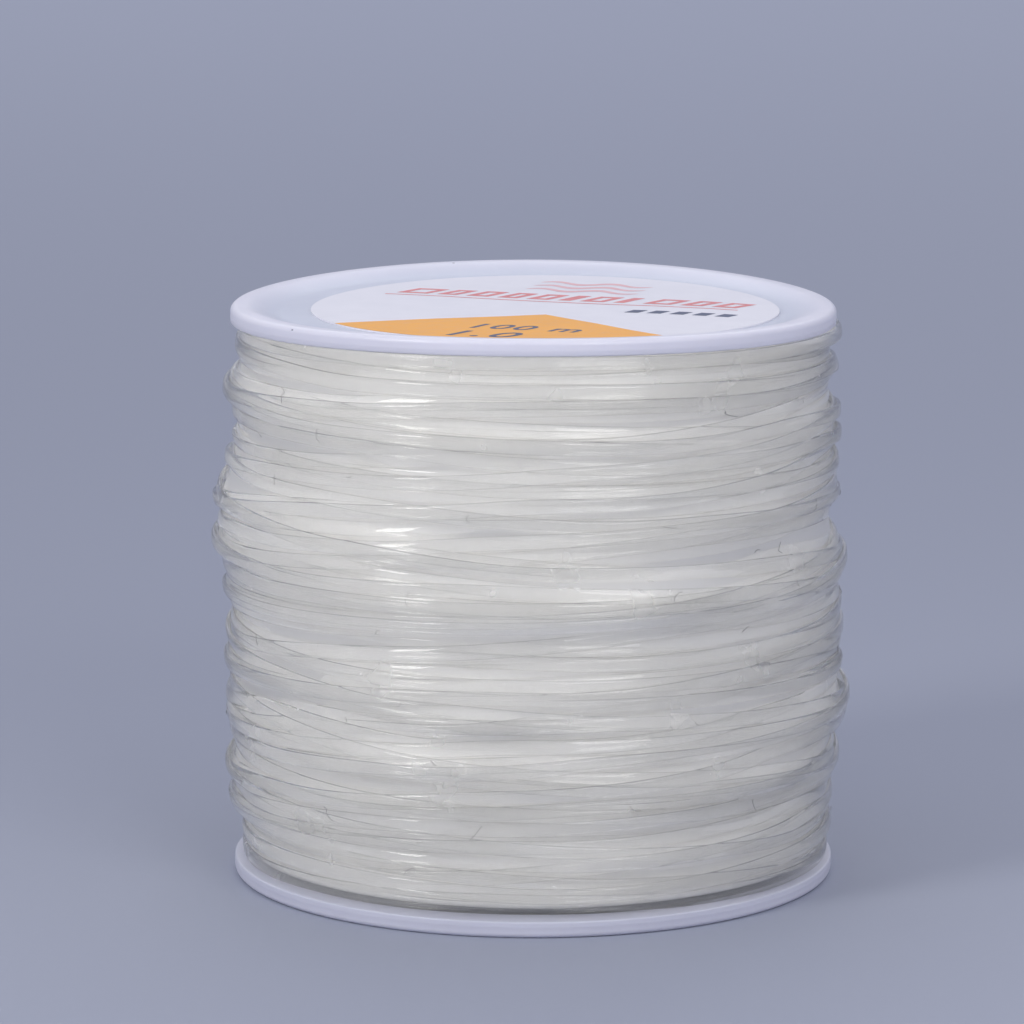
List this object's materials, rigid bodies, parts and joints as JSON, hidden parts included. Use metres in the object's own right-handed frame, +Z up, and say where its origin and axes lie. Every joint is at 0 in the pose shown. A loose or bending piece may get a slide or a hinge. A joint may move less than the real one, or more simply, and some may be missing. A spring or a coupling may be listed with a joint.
{
  "type": "fishing line spool",
  "caption": "Short round plastic spool: two dished flanges pressed into a hollow barrel, fully wound with clear line, with a round paper label on top.",
  "frame": {"origin": "on the spool's axis, at the plane that the bottom flange's rim stands on", "axes": "+Z up along the spool's axis, from the bare flange to the labelled one; +X to the right as the label is read, +Y to the back"},
  "size_m": [0.0644, 0.0644, 0.0593],
  "materials": {
    "reel_plastic": "milky white moulded polypropylene, satin gloss",
    "label_paper": "coated white paper with an orange and coral print",
    "line": "clear soft elastic line, milky in the mass, glossy strands"
  },
  "bodies": {
    "root": {"barrel": "reel_plastic", "bottom_flange": "reel_plastic", "top_flange": "reel_plastic", "top_label": "label_paper", "line_winding": "line", "line_start_knot": "line"}
  },
  "joints": []
}
